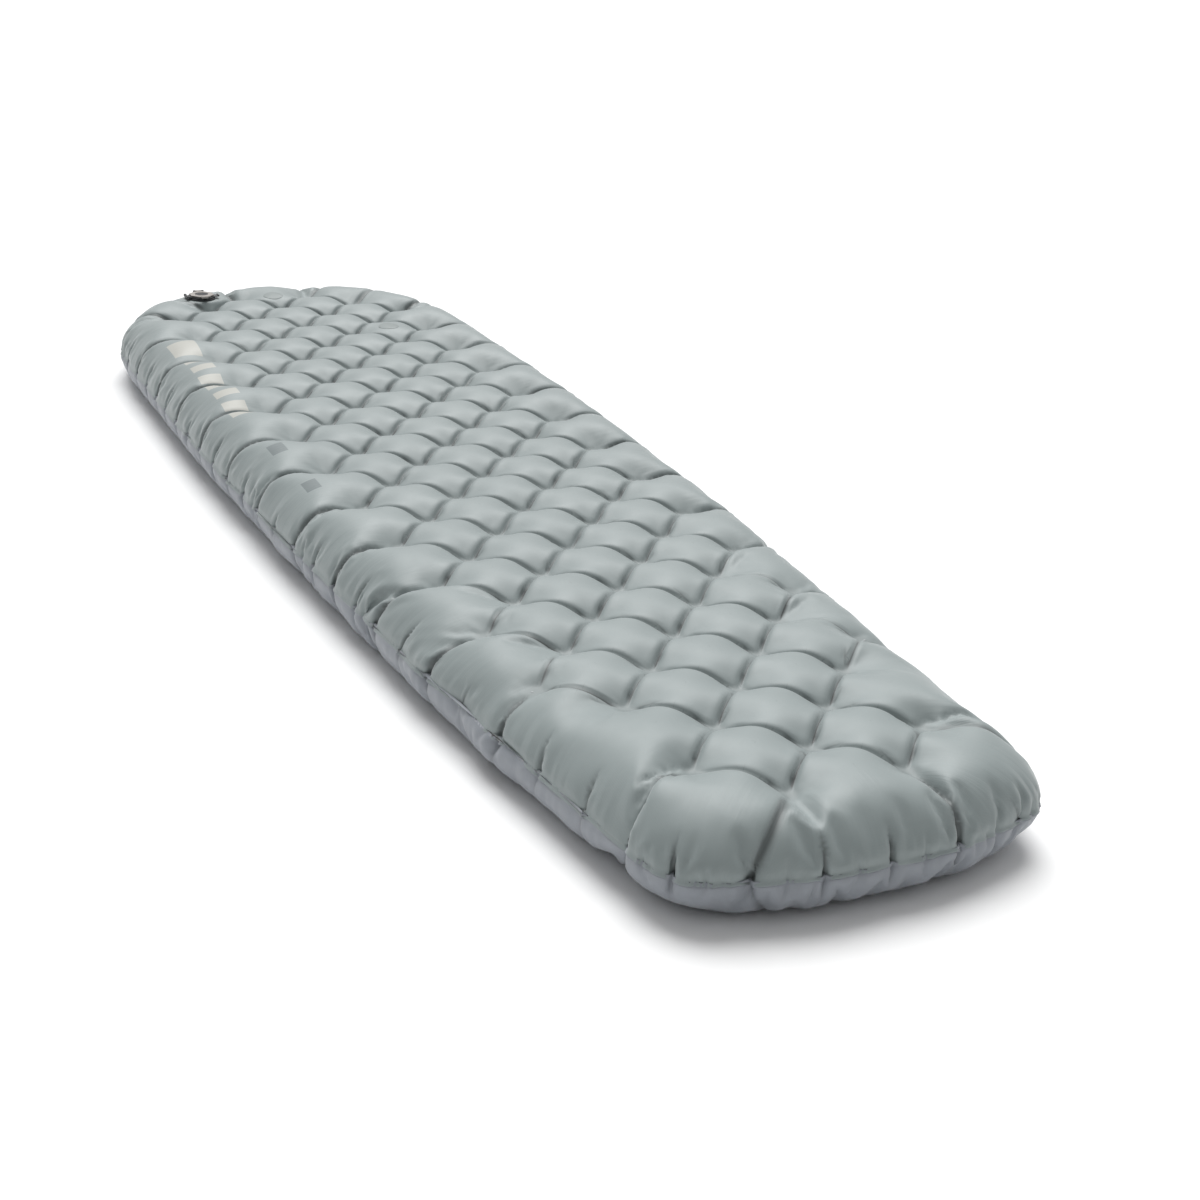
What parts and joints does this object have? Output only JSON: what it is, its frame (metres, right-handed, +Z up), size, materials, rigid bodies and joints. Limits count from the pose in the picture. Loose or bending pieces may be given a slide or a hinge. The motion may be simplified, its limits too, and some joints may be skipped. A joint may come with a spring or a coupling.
{
  "type": "inflatable sleeping pad",
  "caption": "Tapered inflatable camping pad with a lattice of tethered weld dots, inner insulation and reflective layers, and a flat inflation valve near the head.",
  "frame": {"origin": "on the ground, under the middle of the pad's bounding box", "axes": "+X to the right seen from the foot, +Y from the foot to the head, +Z up"},
  "size_m": [0.533, 1.857, 0.1045],
  "materials": {
    "top_fabric": "silky, fine weave",
    "bottom_fabric": "satin, fine weave",
    "tether_film": "translucent film",
    "wadding": "fibrous",
    "foil": "metallised, crinkled",
    "valve_dark": "satin",
    "valve_frame": "satin, worn edges",
    "soft_dark": "matte",
    "steel": "brushed",
    "patch_grey": "smooth weld patch"
  },
  "bodies": {
    "pad": {"top_sheet": "top_fabric", "bottom_sheet": "bottom_fabric", "tether_strip_1": "tether_film", "tether_strip_2": "tether_film", "tether_strip_3": "tether_film", "tether_strip_4": "tether_film", "tether_strip_5": "tether_film", "tether_strip_6": "tether_film", "tether_strip_7": "tether_film", "insulation_layer": "wadding", "reflective_film": "foil", "valve_weld_flange": "tether_film", "valve_body": "valve_dark", "plug_hinge_pin": "steel", "pillow_patch_head": "patch_grey", "pillow_patch_side": "patch_grey"},
    "plug": {"deflate_plug": "valve_dark", "plug_seal_ring": "soft_dark", "cap_hinge_pin": "steel", "poppet_spring": "steel"},
    "cap": {"inflate_cap": "valve_frame", "cap_seal_ring": "soft_dark", "cap_inlay": "soft_dark"},
    "poppet": {"poppet_stem": "valve_frame", "check_disc": "soft_dark", "stem_clip": "steel"}
  },
  "joints": [
    {"name": "plug_hinge", "type": "hinge", "parent": "pad", "child": "plug", "pos_m": [-0.1438, 0.828, 0.1], "axis": [0, -1, 0], "range_deg": [0, 115]},
    {"name": "cap_hinge", "type": "hinge", "parent": "plug", "child": "cap", "pos_m": [-0.12, 0.8492, 0.1026], "axis": [-1, 0, 0], "range_deg": [0, 170]},
    {"name": "poppet_slide", "type": "slide", "parent": "plug", "child": "poppet", "axis": [0, 0, -1], "range_m": [0, 0.0018], "stiffness_N_per_m": 300, "deforming": ["poppet_spring"]}
  ]
}
